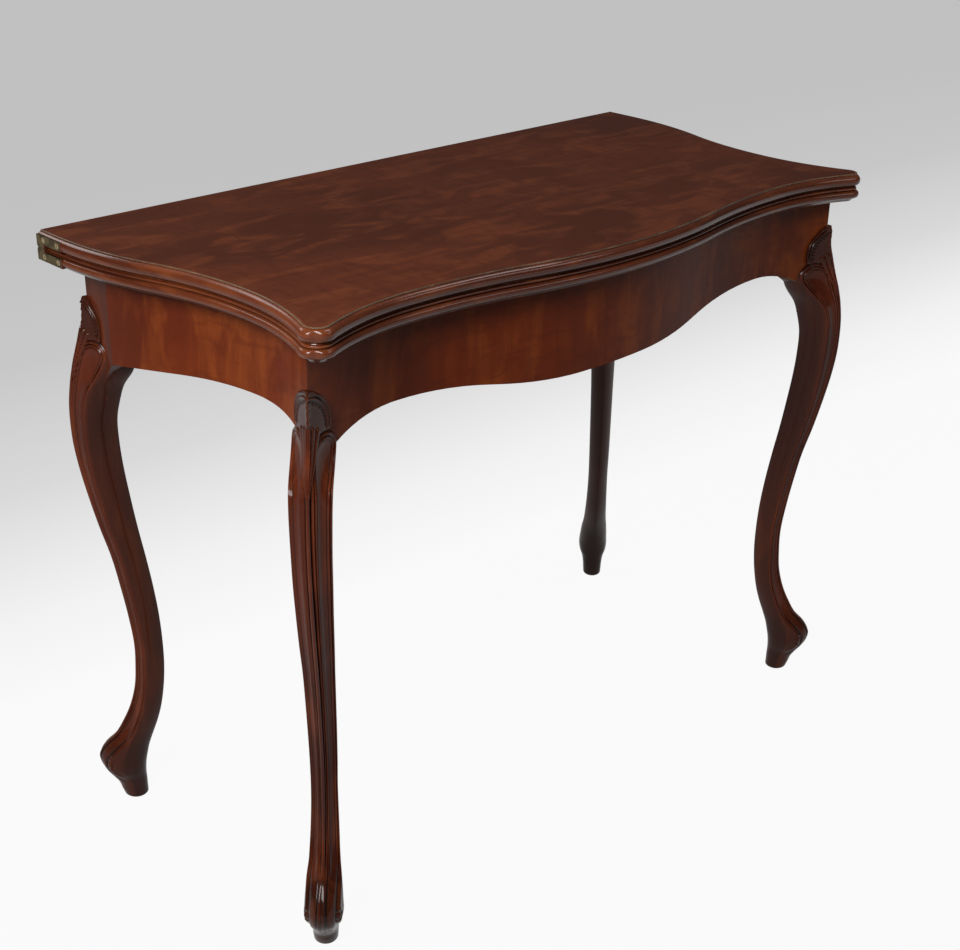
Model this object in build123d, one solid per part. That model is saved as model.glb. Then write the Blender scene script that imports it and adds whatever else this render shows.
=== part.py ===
# Serpentine fold-over card table in mahogany, with a top that turns on a pivot.
#
# The frame is four cabriole legs, each with a square post above its knee, joined by rails
# that are tenoned into the posts. The front and side rails are bowed and hollowed in plan
# and veneered. A bearer crosses the frame and carries an iron pivot. The bed, which is the
# lower leaf, turns a quarter turn on that pivot. The upper leaf is hinged to the bed along
# the straight back edge by a pair of brass card-table hinges, each with two pins and a link,
# let into the ends of the leaves. Left of the bearer is a lined well for cards and counters.
#
# Millimetres. X runs along the table, Y from front to back, Z up. The origin is on the floor,
# under the middle of the closed table. Depths are measured forwards from the back edge.

from build123d import *
from math import hypot, sqrt
import os

# Overall sizes
overall_height = 737.0
leaf_thickness = 17.5
leaf_gap = 0.3
swivel_gap = 0.3

# Plan of the leaves, on the flat of the leaf inside its edge moulding. The insets are from
# the ends and the setbacks from the front of the bow.
top_back_width = 924.0
top_depth = 452.0
side_shoulder_depth = 40.0
side_hollow_inset = 45.5
side_hollow_setback = 137.0
front_hollow_inset = 157.0
front_hollow_setback = 33.5
corner_centre_inset = 37.0
corner_centre_setback = 22.0
corner_radius = 14.0

# Edge mouldings of the two leaves
moulding_out = 5.5
upper_bead_drop = 1.5
upper_thumb_height = 13.8
lower_bead_drop = 1.0
lower_thumb_height = 11.4
thumb_flat = 0.4
under_chamfer = 4.5

# Playing surfaces
baize_border = 38.0
baize_back_margin = 6.0
baize_thickness = 0.8
baize_recess = 1.0

# Overhang of the leaves over the frame, measured to the outside of the veneer
side_overhang = 27.0
side_hollow_overhang = 24.0
back_overhang = 34.6
front_overhang = 25.0
corner_overhang = 0.3
corner_setback = 18.0

# Rails and veneer. The drops are from the top of the frame.
veneer_thickness = 1.0
rail_thickness = 18.0
back_rail_thickness = 19.0
post_width = 42.0
belly_drop = 111.4
belly_flat = 100.0
arch_drop = 87.9
arch_peak_in = 124.0
bracket_radius = 66.0
bracket_run = 44.0
bracket_centre_drop = 155.4
tenon_length = 14.0
tenon_thickness = 8.0
tenon_shoulder = 10.0

# Cabriole legs, in the vertical plane through the corner of the post
knee_top_drop = 46.4
knee_depth = 61.0
leg_width = 45.0
arris_radius = 2.5
heel_radius = 4.0
foot_radius = 13.6
foot_collar_radius = 15.5
foot_collar_height = 30.0
foot_back = 3.7

# Pivot, its bearer and its stop
bearer_thickness = 22.0
housing_depth = 8.0
pivot_radius = 7.0
pivot_clearance = 0.05
pivot_head_radius = 12.0
pivot_head_height = 4.0
pivot_plate_radius = 34.0
pivot_plate_thickness = 3.0
pivot_screw_circle_radius = 24.0
washer_radius = 17.0
washer_thickness = 2.5
nut_width = 24.0
nut_height = 10.0
bolt_tail = 4.0
stop_radius = 8.725
stop_reach = 105.0
stop_drop = 16.0
stop_socket = 10.0
running_gap = 0.3

# Card well
divider_thickness = 12.0
well_depth = 61.4
well_floor_thickness = 8.0
fillet_size = 10.0
lining_thickness = 1.0
lining_margin = 0.4

# Glue blocks and the pads that the bed slides on
glue_block_size = 22.0
glue_block_length = 24.0
pad_radius = 8.0
pad_inset = 14.0
pad_thickness = 1.5
pad_proud = 0.2

# Card-table hinges
hinge_roll_radius = 3.0
hinge_plate_thickness = 3.6
hinge_plate_length = 48.0
hinge_tab_length = 13.0
hinge_tab_height = 14.0
hinge_strip_height = 10.0
hinge_land = 2.0
hinge_pin_radius = 1.1
hinge_pin_clearance = 0.05
hinge_link_radius = 2.4
hinge_link_thickness = 1.2
hinge_slot_width = 1.4
hinge_screw_first = 13.5
hinge_screw_last = 42.0

# Wood screws
screw_head_radius = 3.2
screw_head_depth = 2.0
screw_shank_radius = 1.5
screw_length = 14.0
screw_slot_width = 0.9
screw_slot_depth = 0.8
plate_screw_length = 15.0

# One overrun for every cut and one reach for every slab that is cut to shape
overrun = 2.0
reach = 2000.0

# Stations down the cabriole leg. Each row is the height as a share of the top of the knee,
# then how far the front and the heel stand out from the corner of the post as shares of the
# knee's depth, and the width as a share of the leg's width.
leg_station_shares = [
    (1.000, 0.025, -0.656, 0.60),
    (0.954, 0.184, -0.689, 0.93),
    (0.913, 0.308, -0.721, 1.00),
    (0.878, 0.415, -0.672, 0.99),
    (0.847, 0.475, -0.508, 0.97),
    (0.809, 0.518, -0.390, 0.944),
    (0.771, 0.525, -0.351, 0.922),
    (0.718, 0.475, -0.375, 0.898),
    (0.656, 0.364, -0.446, 0.856),
    (0.588, 0.197, -0.546, 0.789),
    (0.519, 0.0, -0.667, 0.749),
    (0.443, -0.151, -0.784, 0.711),
    (0.366, -0.259, -0.851, 0.680),
    (0.305, -0.284, -0.852, 0.653),
    (0.252, -0.233, -0.811, 0.662),
    (0.206, -0.118, -0.731, 0.702),
    (0.168, 0.070, -0.615, 0.767),
    (0.137, 0.277, -0.495, 0.858),
    (0.1145, 0.495, -0.410, 0.922),
    (0.0916, 0.623, -0.351, 0.969),
    (0.0702, 0.582, -0.311, 0.956),
    (0.0519, 0.459, -0.289, 0.820),
    (0.0366, 0.300, -0.287, 0.720),
]

# Heights and places worked out from the sizes above
half_back = top_back_width / 2
back_y = (top_depth + moulding_out) / 2
outer_x = half_back + moulding_out
frame_top = overall_height - 2 * leaf_thickness - leaf_gap - swivel_gap
bed_underside = frame_top + swivel_gap
bed_surface = bed_underside + leaf_thickness
leaf_underside = bed_surface + leaf_gap
side_hollow_depth = top_depth - side_hollow_setback
front_hollow_x = half_back - front_hollow_inset
corner_centre_x = half_back - corner_centre_inset
corner_centre_depth = top_depth - corner_centre_setback
frame_side_x = half_back - side_overhang
frame_side_hollow_x = half_back - side_hollow_inset - side_hollow_overhang
frame_back_depth = back_overhang
frame_belly_depth = top_depth - front_overhang
frame_hollow_depth = frame_belly_depth - front_hollow_setback
frame_corner_x = corner_centre_x - corner_overhang
frame_corner_depth = corner_centre_depth - corner_setback
post_inner_x = frame_corner_x - post_width
back_post_depth = frame_back_depth + post_width
front_post_depth = frame_corner_depth - post_width
belly_height = frame_top - belly_drop
arch_height = frame_top - arch_drop
knee_top_height = frame_top - knee_top_drop
bracket_centre_height = frame_top - bracket_centre_drop
bracket_inset = post_width + bracket_run
rail_foot = bracket_centre_height + sqrt(bracket_radius**2 - bracket_run**2)
well_floor_height = frame_top - well_depth
swing_centre_depth = (frame_back_depth + frame_corner_depth) / 2
pivot_x = swing_centre_depth / 2
pivot_depth = swing_centre_depth / 2


def y_at(depth):
    """Y of a place that lies this far in front of the back edge."""
    return back_y - depth


def block(x0, x1, y0, y1, z0, z1):
    """Box between two corners."""
    return Pos((x0 + x1) / 2, (y0 + y1) / 2, (z0 + z1) / 2) * Box(abs(x1 - x0), abs(y1 - y0), abs(z1 - z0))


def upright(x, y, z0, z1, radius):
    """Round bar that stands on z0."""
    return Pos(x, y, (z0 + z1) / 2) * Cylinder(radius, z1 - z0)


def mirrored(shape):
    """The same piece at the other end of the table."""
    return shape.mirror(Plane.YZ)


def ogee(start, end, tangent):
    """Two equal arcs that leave start and reach end in the same direction."""
    middle = ((start[0] + end[0]) / 2, (start[1] + end[1]) / 2)
    backwards = (-tangent[0], -tangent[1])
    return [TangentArc(start, middle, tangent=tangent), TangentArc(end, middle, tangent=backwards)]


def flare_radius(along, across, radius):
    """Radius of the arc that leaves a hollow and meets a corner round of this radius."""
    return (along**2 + across**2 - radius**2) / (2 * (radius + across))


def top_outline():
    """Outline of the flat of a leaf: bowed front, hollowed ends, round front corners."""
    hollow = (front_hollow_x, y_at(top_depth - front_hollow_setback))
    side_hollow = (half_back - side_hollow_inset, y_at(side_hollow_depth))
    corner = (corner_centre_x, y_at(corner_centre_depth))
    front_radius = flare_radius(corner[0] - hollow[0], hollow[1] - corner[1], corner_radius)
    side_radius = flare_radius(side_hollow[1] - corner[1], corner[0] - side_hollow[0], corner_radius)
    front_centre = (hollow[0], hollow[1] - front_radius)
    side_centre = (side_hollow[0] + side_radius, side_hollow[1])
    front_touch = towards(corner, front_centre, corner_radius)
    side_touch = towards(corner, side_centre, corner_radius)
    shoulder = (half_back, y_at(side_shoulder_depth))
    edges = ogee((0, y_at(top_depth)), hollow, (1, 0))
    flare = TangentArc(hollow, front_touch, tangent=(1, 0))
    edges += [flare, TangentArc(front_touch, side_touch, tangent=flare % 1)]
    edges += [TangentArc(side_hollow, side_touch, tangent=(0, -1))]
    edges += ogee(side_hollow, shoulder, (0, 1))
    edges += [Line(shoulder, (half_back, back_y))]
    other = [mirrored(edge) for edge in edges]
    return make_face(edges + other + [Line((half_back, back_y), (-half_back, back_y))])


def towards(start, target, distance):
    """Point this far from start, on the way to target."""
    length = hypot(target[0] - start[0], target[1] - start[1])
    share = distance / length
    return (start[0] + (target[0] - start[0]) * share, start[1] + (target[1] - start[1]) * share)


def frame_outline():
    """Outline of the frame on the outside of its veneer."""
    hollow = (front_hollow_x, y_at(frame_hollow_depth))
    corner = (frame_corner_x, y_at(frame_corner_depth))
    side_hollow = (frame_side_hollow_x, y_at(side_hollow_depth))
    shoulder = (frame_side_x, y_at(side_shoulder_depth))
    back = (frame_side_x, y_at(frame_back_depth))
    edges = ogee((0, y_at(frame_belly_depth)), hollow, (1, 0))
    edges += [TangentArc(hollow, corner, tangent=(1, 0))]
    edges += [TangentArc(side_hollow, corner, tangent=(0, -1))]
    edges += ogee(side_hollow, shoulder, (0, 1))
    edges += [Line(shoulder, back)]
    other = [mirrored(edge) for edge in edges]
    return make_face(edges + other + [Line(back, (-back[0], back[1]))])


def slab(face, z0, z1):
    """Plan face made solid between two heights."""
    return extrude(Pos(0, 0, z0) * face, z1 - z0, dir=(0, 0, 1))


def span(x0, x1, depth0, depth1):
    """Plan rectangle between two X values and two depths."""
    width, length = abs(x1 - x0), abs(depth1 - depth0)
    return Pos((x0 + x1) / 2, y_at((depth0 + depth1) / 2)) * Rectangle(width, length)


# Plan faces that several pieces share
ledge_face = top_outline()
thumb_face = offset(ledge_face, moulding_out) & span(-reach, reach, 0, reach)
veneer_face = frame_outline()
core_face = offset(veneer_face, -veneer_thickness)
inner_face = offset(veneer_face, -veneer_thickness - rail_thickness)


def front_sector():
    """Plan triangle from the middle of the frame through its two front corners."""
    middle = (0, y_at((frame_back_depth + frame_corner_depth) / 2))
    left = towards(middle, (-frame_corner_x, y_at(frame_corner_depth)), reach)
    right = towards(middle, (frame_corner_x, y_at(frame_corner_depth)), reach)
    return make_face(Polyline(middle, left, right, close=True))


def front_elevation(end_x, over_posts):
    """Shape of the front rail or its veneer, seen from the front."""
    peak = (frame_corner_x - arch_peak_in, arch_height)
    foot = (post_inner_x, rail_foot)
    half = ogee((belly_flat / 2, belly_height), peak, (1, 0))
    half += [TangentArc(peak, foot, tangent=(1, 0))]
    half += elevation_end(foot, end_x, over_posts)
    other = [mirrored(edge) for edge in half]
    top = Line((end_x, frame_top), (-end_x, frame_top))
    bottom = Line((-belly_flat / 2, belly_height), (belly_flat / 2, belly_height))
    return make_face(half + other + [top, bottom])


def elevation_end(foot, end, over_posts):
    """End of an elevation: square at the post, or sloping up over it to the top of the knee."""
    if over_posts:
        tip = (end, knee_top_height)
        return [Line(foot, tip), Line(tip, (end, frame_top))]
    return [Line(foot, (end, frame_top))]


def side_elevation(end, over_posts):
    """Shape of a side rail or its veneer, seen from the end. Across is Y."""
    back = (y_at(back_post_depth), rail_foot)
    peak = (y_at(frame_corner_depth - arch_peak_in), arch_height)
    foot = (y_at(front_post_depth), rail_foot)
    edges = [TangentArc(peak, back, tangent=(1, 0))]
    edges += [TangentArc(peak, foot, tangent=(-1, 0))]
    edges += elevation_end(foot, end, over_posts)
    edges += [Line((end, frame_top), (back[0], frame_top)), Line((back[0], frame_top), back)]
    return make_face(edges)


def through_front(face):
    """Elevation seen from the front, run through the whole table."""
    return extrude(Plane.XZ * face, reach, both=True)


def through_side(face):
    """Elevation seen from the end, run through the whole table."""
    return extrude(Plane.YZ * face, reach, both=True)


def tenon(x0, x1, y0, y1):
    """Tenon between the shoulders at the top and the foot of a rail."""
    return block(x0, x1, y0, y1, rail_foot + tenon_shoulder, frame_top - tenon_shoulder)


def make_front_rail():
    plan = (core_face - inner_face) & span(-post_inner_x, post_inner_x, front_post_depth, reach)
    rail = slab(plan, 0, frame_top) & through_front(front_elevation(post_inner_x, False))
    middle = y_at(front_post_depth + post_width - veneer_thickness - rail_thickness)
    half = tenon_thickness / 2
    for side in (-1, 1):
        root = side * (post_inner_x - tenon_length)
        end = side * (post_inner_x + tenon_length)
        rail += tenon(root, end, middle - half, middle + half)
    return rail


def make_side_rail():
    plan = (core_face - inner_face) & span(0, reach, back_post_depth, front_post_depth)
    rail = slab(plan, 0, frame_top) & through_side(side_elevation(y_at(front_post_depth), False))
    rear = frame_side_x - veneer_thickness - rail_thickness / 2
    half = tenon_thickness / 2
    for middle, depth in ((rear, back_post_depth), (frame_side_hollow_x, front_post_depth)):
        ends = (y_at(depth + tenon_length), y_at(depth - tenon_length))
        rail += tenon(middle - half, middle + half, *ends)
    return rail


def make_back_rail():
    inner = frame_back_depth + back_rail_thickness
    end_x = frame_side_x - post_width
    rail = block(-end_x, end_x, y_at(inner), y_at(frame_back_depth), rail_foot, frame_top)
    middle = y_at(frame_back_depth + back_rail_thickness / 2)
    half = tenon_thickness / 2
    for side in (-1, 1):
        root = side * (end_x - tenon_length)
        end = side * (end_x + tenon_length)
        rail += tenon(root, end, middle - half, middle + half)
    return rail


def make_front_veneer():
    skin = (veneer_face - core_face) & front_sector()
    return slab(skin, 0, frame_top) & through_front(front_elevation(frame_corner_x, True))


def make_side_veneer():
    skin = (veneer_face - core_face) & span(0, reach, back_post_depth, reach)
    skin = skin - front_sector()
    return slab(skin, 0, frame_top) & through_side(side_elevation(y_at(frame_corner_depth), True))


def leg_station(height_share, front_share, heel_share, width_share):
    """Section of the leg: a square stood on its corner, its two side corners well rounded."""
    front = front_share * knee_depth
    heel = heel_share * knee_depth
    half_depth = (front - heel) / 2
    half_width = width_share * leg_width / 2
    corner = ((front + heel) / 2, 0)
    side = half_depth * sqrt(2)
    square = Pos(*corner) * Rot(0, 0, 45) * Rectangle(side, side)
    one_side, other_side = square.vertices().sort_by(Axis.X)[1:3]
    side_round = max(arris_radius, (half_depth - half_width) / (sqrt(2) - 1))
    section = fillet([one_side, other_side], side_round)
    section = fillet(section.vertices().sort_by(Axis.X)[0], heel_radius)
    section = fillet(section.vertices().sort_by(Axis.X)[-1], arris_radius)
    return Pos(0, 0, height_share * knee_top_height) * section


def make_leg():
    """Leg with the outer corner of its post on the Z axis and its knee pointing to +X +Y."""
    stations = [leg_station(*row) for row in leg_station_shares]
    cabriole = Rot(0, 0, 45) * loft(stations)
    foot = loft([
        Pos(-foot_back, 0, 0) * Circle(foot_radius),
        Pos(-foot_back, 0, foot_collar_height) * Circle(foot_collar_radius),
    ])
    post = block(-post_width, 0, -post_width, 0, bracket_centre_height, frame_top)
    arch = Circle(bracket_radius)
    under = Pos(-bracket_inset, bracket_centre_height) * arch
    post -= extrude(Plane.XZ * under, reach, both=True)
    post -= extrude(Plane.YZ * under, reach, both=True)
    return cabriole + post + Rot(0, 0, 45) * foot


def above_knee(inner, corner, far):
    """Elevation of what lies above the slope from the foot of the rail to the top of the knee."""
    top = frame_top + overrun
    slope = [(inner, rail_foot), (corner, knee_top_height)]
    above = [(far, knee_top_height), (far, top), (inner, top)]
    return make_face(Polyline(*slope, *above, close=True))


def front_knee_clearance():
    """Everything outside the core of the frame and above the knee of a front leg."""
    outside = slab(span(0, reach, swing_centre_depth, reach) - core_face, 0, frame_top + overrun)
    from_front = above_knee(post_inner_x, frame_corner_x, reach)
    from_side = above_knee(y_at(front_post_depth), y_at(frame_corner_depth), y_at(reach))
    return (outside & through_front(from_front)) + (outside & through_side(from_side))


def back_knee_clearance():
    """Everything outside the frame and above the knee of a back leg."""
    outside = slab(span(0, reach, -reach, swing_centre_depth) - veneer_face, 0, frame_top + overrun)
    from_back = above_knee(frame_side_x - post_width, frame_side_x, reach)
    from_side = above_knee(y_at(back_post_depth), y_at(frame_back_depth), reach)
    return (outside & through_front(from_back)) + (outside & through_side(from_side))


front_rail = make_front_rail()
right_side_rail = make_side_rail()
back_rail = make_back_rail()


leg = make_leg()
leg_back_right = Pos(frame_side_x, y_at(frame_back_depth), 0) * leg
leg_back_right = leg_back_right - back_knee_clearance() - right_side_rail - back_rail
leg_front_right = Pos(frame_corner_x, y_at(frame_corner_depth), 0) * Rot(0, 0, -90) * leg
leg_front_right = leg_front_right - front_knee_clearance() - right_side_rail - front_rail

# Bearer across the frame, housed in the front and back rails, bored for the pivot. Half of its
# width leaves room for the stop peg between the pivot and the back rail.
back_rail_inner = frame_back_depth + back_rail_thickness
bearer_half = pivot_depth - back_rail_inner - 2 * (stop_radius + running_gap)
bearer_left = pivot_x - bearer_half
bearer_right = pivot_x + bearer_half
bearer_bottom = frame_top - bearer_thickness
bearer_plan = span(bearer_left, bearer_right, back_rail_inner - housing_depth, reach)
bearer_plan = bearer_plan & offset(veneer_face, -veneer_thickness - rail_thickness + housing_depth)
bearer_plan += span(bearer_left, bearer_right, back_rail_inner - housing_depth, swing_centre_depth)
pivot_bearer = slab(bearer_plan, bearer_bottom, frame_top)
front_rail = front_rail - pivot_bearer
back_rail = back_rail - pivot_bearer
hole_radius = pivot_radius + pivot_clearance
hole_foot, hole_top = bearer_bottom - overrun, frame_top + overrun
pivot_bearer -= upright(pivot_x, y_at(pivot_depth), hole_foot, hole_top, hole_radius)

# Card well left of the bearer
divider_plan = inner_face & span(bearer_left, bearer_left + divider_thickness, back_rail_inner, reach)
well_under = well_floor_height - well_floor_thickness
well_divider = slab(divider_plan, well_under - fillet_size, bearer_bottom)
well_plan = inner_face & span(-reach, bearer_left, back_rail_inner, reach)
left_legs = mirrored(leg_front_right) + mirrored(leg_back_right)
well_bottom = slab(well_plan, well_under, well_floor_height) - left_legs
rim_plan = well_plan - offset(well_plan, -fillet_size)
well_fillets = slab(rim_plan, well_under - fillet_size, well_under) - left_legs
lining_plan = offset(well_plan, -lining_margin)
post_room = span(-reach, -post_inner_x + lining_margin, front_post_depth - lining_margin, reach)
post_room += span(-reach, -frame_side_x + post_width + lining_margin, 0, back_post_depth + lining_margin)
well_lining = slab(lining_plan - post_room, well_floor_height, well_floor_height + lining_thickness)


def make_glue_blocks():
    """Blocks glued low in the angles between the posts and the front and back rails."""
    back_x = frame_side_x - post_width
    at_back = span(back_x - glue_block_size, back_x, back_rail_inner, back_rail_inner + glue_block_size)
    at_front = inner_face & span(post_inner_x - glue_block_size, post_inner_x, front_post_depth, reach)
    blocks = []
    for plan in (at_back, at_front):
        glued = slab(plan, rail_foot, rail_foot + glue_block_length)
        blocks += [glued, mirrored(glued)]
    return blocks


def make_pads():
    """Baize pads let into the tops of the four posts."""
    places = [(frame_side_x - post_width + pad_inset, back_post_depth - pad_inset)]
    places += [(post_inner_x + pad_inset, front_post_depth + pad_inset)]
    pad_top = frame_top + pad_proud
    pads = []
    for x, depth in places:
        pad = upright(x, y_at(depth), pad_top - pad_thickness, pad_top, pad_radius)
        pads += [pad, mirrored(pad)]
    return pads


pads = make_pads()
for pad in pads:
    leg_back_right = leg_back_right - pad
    leg_front_right = leg_front_right - pad


def rounded_thumb(z0, z1):
    """Edge moulding of a leaf: a slab with both its outer edges rounded to meet each other."""
    body = slab(thumb_face, z0, z1)
    radius = (z1 - z0 - thumb_flat) / 2
    level = [edge for edge in body.edges() if abs(edge.tangent_at(0).Z) < 1 / 2]
    return fillet([edge for edge in level if abs(edge.center().Y - back_y) > overrun], radius)


def roll_relief(pin_z, face_z):
    """What is cut from a back arris so that it turns about the pin in a round of the roll radius."""
    low, high = min(pin_z, face_z), max(pin_z, face_z)
    corner = block(-reach, reach, y_at(hinge_roll_radius), back_y + overrun, low, high)
    rod = Pos(0, y_at(hinge_roll_radius), pin_z) * Rot(0, 90, 0) * Cylinder(hinge_roll_radius, 2 * reach)
    return corner - rod


def baize_plan():
    """Playing surface inside its border, run back to the hinged edge."""
    inset = offset(ledge_face, -baize_border)
    half = half_back - baize_border
    return inset + span(-half, half, baize_back_margin, baize_border + overrun)


lower_pin_z = bed_surface - hinge_roll_radius
upper_pin_z = leaf_underside + hinge_roll_radius
pin_y = y_at(hinge_roll_radius)


def hinge_plate(joint_z, up):
    """Brass plate of a right-hand hinge, for the leaf above or below the joint."""
    inner = outer_x - hinge_plate_thickness
    far = joint_z + up * hinge_tab_height
    near = far - up * hinge_strip_height
    tab = block(inner, outer_x, y_at(hinge_tab_length), back_y, joint_z, far)
    strip = block(inner, outer_x, y_at(hinge_plate_length), back_y, near, far)
    return tab + strip


def hinge_screw_places(joint_z, up):
    z = joint_z + up * (hinge_tab_height - hinge_strip_height / 2)
    return [(y_at(hinge_screw_first), z), (y_at(hinge_screw_last), z)]


def screw(length):
    """Countersunk wood screw with its head's face on Z = 0, pointing down."""
    head = Pos(0, 0, -screw_head_depth / 2) * Cone(screw_shank_radius, screw_head_radius, screw_head_depth)
    shank_length = length - screw_head_depth
    shank = Pos(0, 0, -screw_head_depth - shank_length / 2) * Cylinder(screw_shank_radius, shank_length)
    return head + shank


def slotted(piece):
    """The screw with the slot for the driver."""
    return piece - Box(2 * screw_head_radius + overrun, screw_slot_width, 2 * screw_slot_depth)


def place_hinge_screw(piece, place):
    """Screw driven into the right-hand end of a leaf."""
    return Pos(outer_x, place[0], place[1]) * Rot(0, 90, 0) * piece


def make_leaf_end(leaf, joint_z, up):
    """Leaf with square lands for its hinges and the recesses that the plates lie in."""
    land_y = y_at(hinge_tab_length + hinge_land)
    land_far = joint_z + up * (hinge_tab_height - hinge_strip_height)
    inner_x = half_back - hinge_land
    land = block(inner_x, outer_x, land_y, back_y, joint_z, land_far)
    strip_y = y_at(hinge_plate_length + hinge_land)
    strip_far = joint_z + up * hinge_tab_height
    land += block(inner_x, outer_x, strip_y, back_y, land_far, strip_far)
    leaf = leaf + land + mirrored(land)
    plate = hinge_plate(joint_z, up)
    return leaf - plate - mirrored(plate)


def make_hinge_side(joint_z, up, pin_z):
    """Plate, screws and pin of a right-hand hinge on one leaf."""
    plate = hinge_plate(joint_z, up) - roll_relief(pin_z, joint_z)
    slot_reach = hinge_roll_radius + hinge_link_radius + running_gap
    slot_low, slot_high = joint_z - up * overrun, joint_z + up * slot_reach
    middle = outer_x - hinge_plate_thickness / 2
    half = hinge_slot_width / 2
    slot = block(middle - half, middle + half, y_at(slot_reach), back_y + overrun, slot_low, slot_high)
    pin = Pos(middle, pin_y, pin_z) * Rot(0, 90, 0) * Cylinder(hinge_pin_radius, hinge_plate_thickness)
    plate = plate - slot - pin
    screws = []
    for place in hinge_screw_places(joint_z, up):
        plate = plate - place_hinge_screw(screw(screw_length), place)
        screws += [place_hinge_screw(slotted(screw(screw_length)), place)]
    return plate, screws, pin


def make_link():
    """Link that joins the two pins of a right-hand hinge."""
    middle = outer_x - hinge_plate_thickness / 2
    half = hinge_link_thickness / 2
    back, front = pin_y + hinge_link_radius, pin_y - hinge_link_radius
    link = block(middle - half, middle + half, front, back, lower_pin_z, upper_pin_z)
    eyes = [Pos(middle, pin_y, z) * Rot(0, 90, 0) for z in (lower_pin_z, upper_pin_z)]
    for eye in eyes:
        link += eye * Cylinder(hinge_link_radius, hinge_link_thickness)
    for eye in eyes:
        link -= eye * Cylinder(hinge_pin_radius + hinge_pin_clearance, hinge_plate_thickness)
    return link


lower_plate, lower_screws, lower_pin = make_hinge_side(bed_surface, -1, lower_pin_z)
upper_plate, upper_screws, upper_pin = make_hinge_side(leaf_underside, 1, upper_pin_z)
hinge_link = make_link()

# Upper leaf: polished above, a recess for the baize below
upper_thumb_top = overall_height - upper_bead_drop
upper_leaf = slab(ledge_face, leaf_underside, overall_height)
upper_leaf = upper_leaf + rounded_thumb(upper_thumb_top - upper_thumb_height, upper_thumb_top)
upper_leaf = make_leaf_end(upper_leaf, leaf_underside, 1)
upper_leaf = upper_leaf - roll_relief(upper_pin_z, leaf_underside)
upper_recess = leaf_underside + baize_recess
upper_leaf = upper_leaf - slab(baize_plan(), leaf_underside - overrun, upper_recess)
upper_baize = slab(baize_plan(), upper_recess - baize_thickness, upper_recess)

# Lower leaf, which is the bed
lower_thumb_top = bed_surface - lower_bead_drop
lower_leaf = slab(ledge_face, bed_underside, bed_surface)
under_edges = lower_leaf.faces().sort_by(Axis.Z)[0].edges()
under_rim = [edge for edge in under_edges if abs(edge.center().Y - back_y) > overrun]
lower_leaf = chamfer(under_rim, under_chamfer)
lower_leaf = lower_leaf + rounded_thumb(lower_thumb_top - lower_thumb_height, lower_thumb_top)
lower_leaf = make_leaf_end(lower_leaf, bed_surface, -1)
lower_leaf = lower_leaf - roll_relief(lower_pin_z, bed_surface)
lower_recess = bed_surface - baize_recess
lower_leaf = lower_leaf - slab(baize_plan(), lower_recess, bed_surface + overrun)
lower_baize = slab(baize_plan(), lower_recess, lower_recess + baize_thickness)

for driven in lower_screws:
    lower_leaf = lower_leaf - driven - mirrored(driven)
for driven in upper_screws:
    upper_leaf = upper_leaf - driven - mirrored(driven)

# Pivot under the bed: a plate let in flush, a bolt through the bearer, a washer and a nut
pivot_y = y_at(pivot_depth)
plate_top = bed_underside + pivot_plate_thickness
head_top = plate_top + pivot_head_height
washer_top = bearer_bottom - running_gap
nut_top = washer_top - washer_thickness
bolt_end = nut_top - nut_height - bolt_tail
pivot_bolt = upright(pivot_x, pivot_y, bolt_end, plate_top, pivot_radius)
pivot_bolt += upright(pivot_x, pivot_y, plate_top, head_top, pivot_head_radius)
shank = upright(pivot_x, pivot_y, bolt_end - overrun, plate_top + overrun, pivot_radius)
pivot_plate = upright(pivot_x, pivot_y, bed_underside, plate_top, pivot_plate_radius) - shank
pivot_washer = upright(pivot_x, pivot_y, nut_top, washer_top, washer_radius) - shank
nut_blank = Pos(pivot_x, pivot_y, nut_top - nut_height / 2) * Box(nut_width, nut_width, nut_height)
pivot_nut = nut_blank - shank
plate_screws = []
plate_screw = screw(plate_screw_length)
for spot in PolarLocations(pivot_screw_circle_radius, 4, start_angle=45):
    place = Pos(pivot_x, pivot_y, bed_underside) * spot * Rot(180, 0, 0)
    lower_leaf -= place * plate_screw
    pivot_plate -= place * plate_screw
    plate_screws += [place * slotted(plate_screw)]
lower_leaf -= upright(pivot_x, pivot_y, bed_underside - overrun, plate_top, pivot_plate_radius)
lower_leaf -= upright(pivot_x, pivot_y, plate_top - overrun, head_top, pivot_head_radius)

# Stop peg under the bed: it meets the bearer when the top is square, the back rail after a quarter turn
stop_across = bearer_half + running_gap + stop_radius
stop_along = sqrt(stop_reach**2 - stop_across**2)
stop_foot, stop_top = bed_underside - stop_drop, bed_underside + stop_socket
stop_peg = upright(pivot_x + stop_across, pivot_y - stop_along, stop_foot, stop_top, stop_radius)
lower_leaf = lower_leaf - stop_peg

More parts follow.
